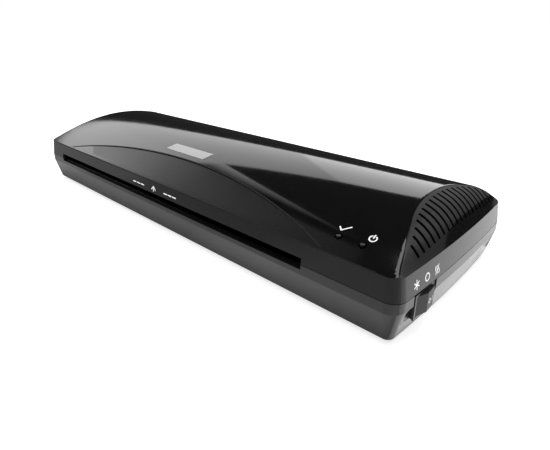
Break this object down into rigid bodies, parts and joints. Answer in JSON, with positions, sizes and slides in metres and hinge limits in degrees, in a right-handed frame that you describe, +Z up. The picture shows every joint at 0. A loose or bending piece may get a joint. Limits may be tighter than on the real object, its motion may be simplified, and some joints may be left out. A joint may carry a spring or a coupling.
{
  "type": "pouch laminator",
  "caption": "Desktop pouch laminator: arched gloss cover over a tapered base, wide front entry slot, vent slits in the right end, two indicator lamps and a rocker switch on the right end.",
  "frame": {"origin": "middle of the footprint, on the plane that the soles of the feet stand on", "axes": "+X along the machine towards the switch end, +Y from the entry slot to the exit slot, +Z up"},
  "size_m": [0.4372, 0.155, 0.0663],
  "materials": {
    "cover_plastic": "high-gloss black ABS",
    "base_plastic": "satin dark grey ABS",
    "foot_rubber": "matte",
    "screw_steel": "zinc plated",
    "frame_steel": "galvanised sheet",
    "shaft_steel": "ground",
    "spring_steel": "drawn wire",
    "shoe_aluminium": "extruded",
    "heater_mat": "polyimide mat",
    "guide_plastic": "moulded, matte",
    "bush_plastic": "acetal",
    "gear_plastic": "acetal",
    "silicone": "silicone rubber",
    "motor_steel": "plated can",
    "board_laminate": "phenolic laminate",
    "component_plastic": "moulded cases",
    "ceramic": "phenolic and ceramic",
    "lamp_plastic": "smoked clear epoxy",
    "switch_plastic": "moulded black nylon",
    "rocker_plastic": "moulded dark grey nylon",
    "terminal_brass": "tinned"
  },
  "bodies": {
    "chassis": {"base_shell": "base_plastic", "top_cover": "cover_plastic", "rubber_feet": "foot_rubber", "case_screws": "screw_steel", "entry_guide_lower": "guide_plastic", "entry_guide_upper": "guide_plastic", "exit_guide_lower": "guide_plastic", "exit_guide_upper": "guide_plastic", "side_frame_left": "frame_steel", "side_frame_right": "frame_steel", "frame_screws": "screw_steel", "heat_shoe_lower": "shoe_aluminium", "heat_shoe_upper": "shoe_aluminium", "heater_strip_lower": "heater_mat", "heater_strip_upper": "heater_mat", "thermostat": "ceramic", "thermal_fuse": "ceramic", "roller_bushes": "bush_plastic", "pressure_springs": "spring_steel", "motor_plate": "frame_steel", "motor_spacers": "shoe_aluminium", "motor": "motor_steel", "motor_screws": "screw_steel", "circuit_board": "board_laminate", "board_screws": "screw_steel", "board_components": "component_plastic", "ready_lamp": "lamp_plastic", "power_lamp": "lamp_plastic", "switch_housing": "switch_plastic", "switch_terminals": "terminal_brass", "cord_bushing": "foot_rubber", "cord_clamp": "guide_plastic", "cord_clamp_screws": "screw_steel"},
    "lower_roller": {"shaft_lower": "shaft_steel", "clips_lower": "spring_steel", "sleeve_lower": "silicone", "gear_lower": "gear_plastic"},
    "upper_roller": {"shaft_upper": "shaft_steel", "clips_upper": "spring_steel", "sleeve_upper": "silicone", "gear_upper": "gear_plastic"},
    "drive_pinion": {"motor_pinion": "gear_plastic", "motor_shaft": "shaft_steel"},
    "rocker": {"switch_rocker": "rocker_plastic"}
  },
  "joints": [
    {"name": "lower_roller_spin", "type": "hinge", "parent": "chassis", "child": "lower_roller", "pos_m": [0, 0, 0.0213], "axis": [-1, 0, 0], "continuous": true},
    {"name": "upper_roller_spin", "type": "hinge", "parent": "chassis", "child": "upper_roller", "pos_m": [0, 0, 0.0437], "axis": [-1, 0, 0], "continuous": true},
    {"name": "pinion_spin", "type": "hinge", "parent": "chassis", "child": "drive_pinion", "pos_m": [0, 0.0177, 0.027], "axis": [-1, 0, 0], "continuous": true},
    {"name": "rocker_tilt", "type": "hinge", "parent": "chassis", "child": "rocker", "pos_m": [0.213, -0.048, 0.0219], "axis": [0, 0, 1], "range_deg": [0, 12]}
  ],
  "couplings": [
    {"joint": "upper_roller_spin", "follows": "lower_roller_spin", "ratio": -1},
    {"joint": "pinion_spin", "follows": "lower_roller_spin", "ratio": -1.4667}
  ]
}
